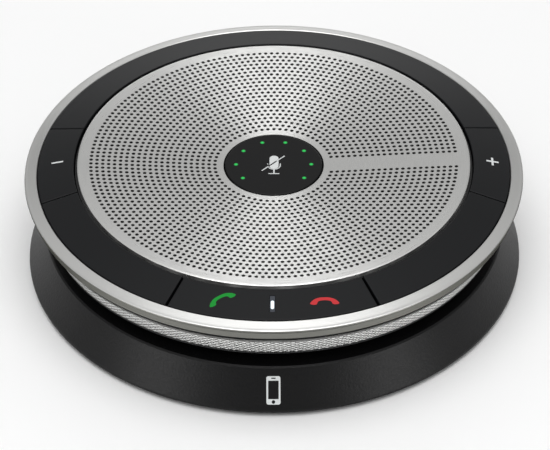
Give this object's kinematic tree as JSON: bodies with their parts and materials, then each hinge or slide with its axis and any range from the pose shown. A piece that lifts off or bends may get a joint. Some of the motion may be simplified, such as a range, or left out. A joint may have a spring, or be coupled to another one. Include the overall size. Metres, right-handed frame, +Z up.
{
  "type": "conference speakerphone",
  "caption": "Low round table speakerphone: dished perforated metal grille with a central mute button, sloping key ring, metal rim, mesh band, cable groove and flared base.",
  "frame": {"origin": "on the table, at the centre of the foot ring", "axes": "+Z up along the round body's axis; -Y is the front, with the call keys; +X is the side of the plus key"},
  "size_m": [0.1104, 0.1104, 0.026],
  "materials": {
    "black_rubber": "matte moulded rubber",
    "silicone": "translucent silicone rubber",
    "base_black": "fine spark-eroded texture, matte black",
    "housing_black": "plain moulded black",
    "silver_mesh": "fine woven silver wire mesh",
    "silver_rim": "satin anodised",
    "key_gray": "dark gray satin moulding with printed signs",
    "brushed_grille": "brushed in circles and perforated",
    "grille_cloth": "black acoustic cloth",
    "button_black": "satin black with a printed sign",
    "green_window": "lit green light guides",
    "white_window": "lit cool white light guide",
    "steel": "zinc plated steel",
    "ferrite": "ground ferrite",
    "copper_coil": "enamelled copper wire",
    "cone_paper": "pressed paper pulp and impregnated cloth",
    "board_green": "glass epoxy with solder mask",
    "part_black": "moulded electronic parts",
    "part_pale": "pale moulded electronic parts",
    "flex_amber": "polyimide film",
    "capsule_metal": "drawn aluminium cans"
  },
  "bodies": {
    "housing": {"foot_ring": "black_rubber", "base_plate": "base_black", "base_screws": "steel", "base_skirt": "base_black", "cable_spool": "housing_black", "cable_grommet": "black_rubber", "lower_housing": "housing_black", "mesh_band": "silver_mesh", "mic_boots": "black_rubber", "mic_capsules": "capsule_metal", "rim_ring": "silver_rim", "keypad_carrier": "housing_black", "chassis_screws": "steel", "grille_gasket": "housing_black", "pad_back": "key_gray", "pad_front_left": "key_gray", "pad_front_right": "key_gray", "key_pcb": "board_green", "plus_dome": "silicone", "minus_dome": "silicone", "rocker_switches": "part_black", "status_led": "part_pale", "key_flex": "flex_amber", "speaker_grille": "brushed_grille", "grille_cloth": "grille_cloth", "button_bridge": "housing_black", "button_pcb": "board_green", "button_leds": "part_pale", "mute_dome": "silicone", "speaker_basket": "steel", "speaker_gasket": "black_rubber", "speaker_screws": "steel", "speaker_top_plate": "steel", "speaker_magnet": "ferrite", "speaker_yoke": "steel", "spider": "cone_paper", "surround": "black_rubber", "main_pcb": "board_green", "board_chips": "part_black", "board_capacitors": "part_black", "cable_header": "part_pale"},
    "mute_key": {"mute_button": "button_black", "led_windows": "green_window"},
    "minus_key": {"key_minus": "key_gray"},
    "plus_key": {"key_plus": "key_gray"},
    "call_rocker": {"key_call_rocker": "key_gray", "status_light": "white_window"},
    "cone": {"speaker_cone": "cone_paper", "dust_cap": "cone_paper", "voice_coil": "copper_coil"}
  },
  "joints": [
    {"name": "mute_press", "type": "slide", "parent": "housing", "child": "mute_key", "axis": [0, 0, -1], "range_m": [0, 0.0006], "stiffness_N_per_m": 1500, "springref_m": -0.0006, "deforming": ["mute_dome"]},
    {"name": "minus_press", "type": "slide", "parent": "housing", "child": "minus_key", "axis": [0, 0, -1], "range_m": [0, 0.0005], "stiffness_N_per_m": 1500, "springref_m": -0.0006, "deforming": ["minus_dome"]},
    {"name": "plus_press", "type": "slide", "parent": "housing", "child": "plus_key", "axis": [0, 0, -1], "range_m": [0, 0.0005], "stiffness_N_per_m": 1500, "springref_m": -0.0006, "deforming": ["plus_dome"]},
    {"name": "rocker_tilt", "type": "hinge", "parent": "housing", "child": "call_rocker", "pos_m": [0, -0.0478, 0.02285], "axis": [0, 1, 0], "range_deg": [-1.5, 1.5], "stiffness_Nm_per_rad": 0.5},
    {"name": "cone_travel", "type": "slide", "parent": "housing", "child": "cone", "axis": [0, 0, 1], "range_m": [-0.0008, 0.0008], "stiffness_N_per_m": 1500, "deforming": ["spider", "surround"]}
  ]
}
